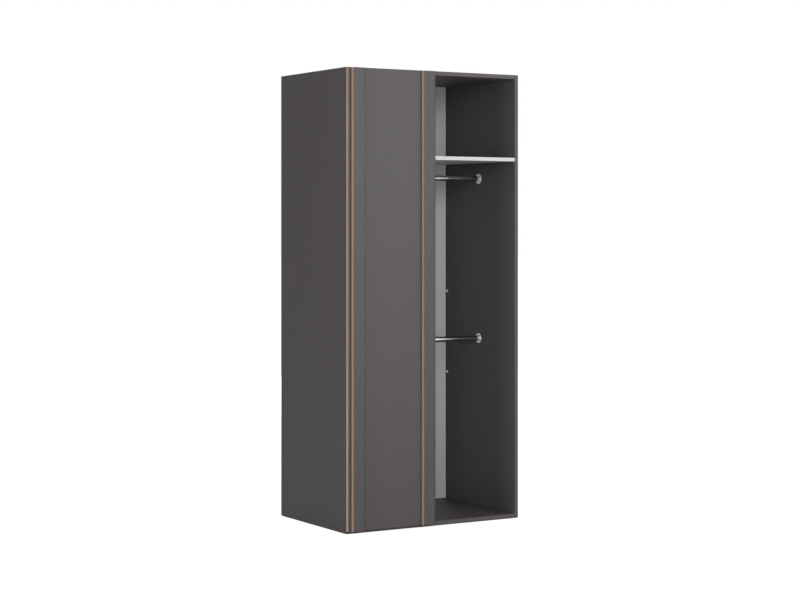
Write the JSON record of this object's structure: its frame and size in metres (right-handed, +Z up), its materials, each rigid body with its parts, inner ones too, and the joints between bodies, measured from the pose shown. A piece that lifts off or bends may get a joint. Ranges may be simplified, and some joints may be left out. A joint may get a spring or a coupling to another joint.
{
  "type": "corner wardrobe",
  "caption": "Tall open-fronted wardrobe for hanging clothes, with a shelf, clothes rods, and a half-width door with raised upright laths on concealed hinges.",
  "frame": {"origin": "on the floor, under the middle of the closed wardrobe's bounding box", "axes": "+Z up, the doorway faces -Y, +X to the right seen from the front"},
  "size_m": [0.89, 0.644, 2],
  "materials": {
    "graphite_board": "matt graphite laminate on chipboard, fine sanded grain",
    "copper_edge": "copper-coloured satin edge band",
    "white_back": "thin fibreboard lacquered white on the inner face",
    "white_edge": "white matt edge band",
    "white_shelf": "white matt laminate on chipboard",
    "chrome_tube": "polished chrome",
    "chrome_flange": "polished chrome",
    "nickel_pin": "nickel plated",
    "nickel_hinge": "nickel plated",
    "soft_bumper": "clear soft elastomer",
    "glide_plastic": "grey moulded plastic"
  },
  "bodies": {
    "carcass": {"back_joint_strip": "white_back", "back_panel_left": "white_back", "back_panel_right": "white_back", "bottom_panel": "graphite_board", "door_bumper_bottom": "soft_bumper", "door_bumper_top": "soft_bumper", "floor_glide_1": "glide_plastic", "floor_glide_2": "glide_plastic", "floor_glide_3": "glide_plastic", "floor_glide_4": "glide_plastic", "floor_glide_5": "glide_plastic", "floor_glide_6": "glide_plastic", "hinge_arm_1": "nickel_hinge", "hinge_arm_2": "nickel_hinge", "hinge_arm_3": "nickel_hinge", "hinge_arm_4": "nickel_hinge", "hinge_mounting_plate_1": "nickel_hinge", "hinge_mounting_plate_2": "nickel_hinge", "hinge_mounting_plate_3": "nickel_hinge", "hinge_mounting_plate_4": "nickel_hinge", "left_side_panel": "graphite_board", "lower_clothes_rod": "chrome_tube", "lower_corner_pin_left": "nickel_pin", "lower_corner_pin_right": "nickel_pin", "lower_rod_flange_left": "chrome_flange", "lower_rod_flange_right": "chrome_flange", "right_side_panel": "graphite_board", "shelf": "white_shelf", "shelf_edge_band": "white_edge", "top_panel": "graphite_board", "upper_clothes_rod": "chrome_tube", "upper_corner_pin_left": "nickel_pin", "upper_corner_pin_right": "nickel_pin", "upper_rod_flange_left": "chrome_flange", "upper_rod_flange_right": "chrome_flange"},
    "inner_links": {"hinge_inner_link_1": "nickel_hinge", "hinge_inner_link_2": "nickel_hinge", "hinge_inner_link_3": "nickel_hinge", "hinge_inner_link_4": "nickel_hinge"},
    "outer_links": {"hinge_outer_link_1": "nickel_hinge", "hinge_outer_link_2": "nickel_hinge", "hinge_outer_link_3": "nickel_hinge", "hinge_outer_link_4": "nickel_hinge"},
    "door": {"door_panel": "graphite_board", "door_lath_left": "graphite_board", "door_lath_right": "graphite_board", "door_edge_band_left": "copper_edge", "door_edge_band_right": "copper_edge", "lath_left_edge_band_left": "copper_edge", "lath_left_edge_band_right": "copper_edge", "lath_right_edge_band_left": "copper_edge", "lath_right_edge_band_right": "copper_edge", "hinge_cup_1": "nickel_hinge", "hinge_cup_2": "nickel_hinge", "hinge_cup_3": "nickel_hinge", "hinge_cup_4": "nickel_hinge"}
  },
  "joints": [
    {"name": "inner_link_swing", "type": "hinge", "parent": "carcass", "child": "inner_links", "pos_m": [-0.4109, -0.268, 1.0045], "axis": [0, 0, -1], "range_deg": [-27.84, 0]},
    {"name": "outer_link_swing", "type": "hinge", "parent": "carcass", "child": "outer_links", "pos_m": [-0.405, -0.2806, 1.0045], "axis": [0, 0, -1], "range_deg": [-12.55, 0]},
    {"name": "door_swing", "type": "hinge", "parent": "inner_links", "child": "door", "pos_m": [-0.4357, -0.287, 1.0045], "axis": [0, 0, -1], "range_deg": [0, 122.83]}
  ],
  "couplings": [
    {"joint": "inner_link_swing", "follows": "door_swing", "ratio": -0.22661},
    {"joint": "outer_link_swing", "follows": "door_swing", "ratio": -0.10209}
  ]
}
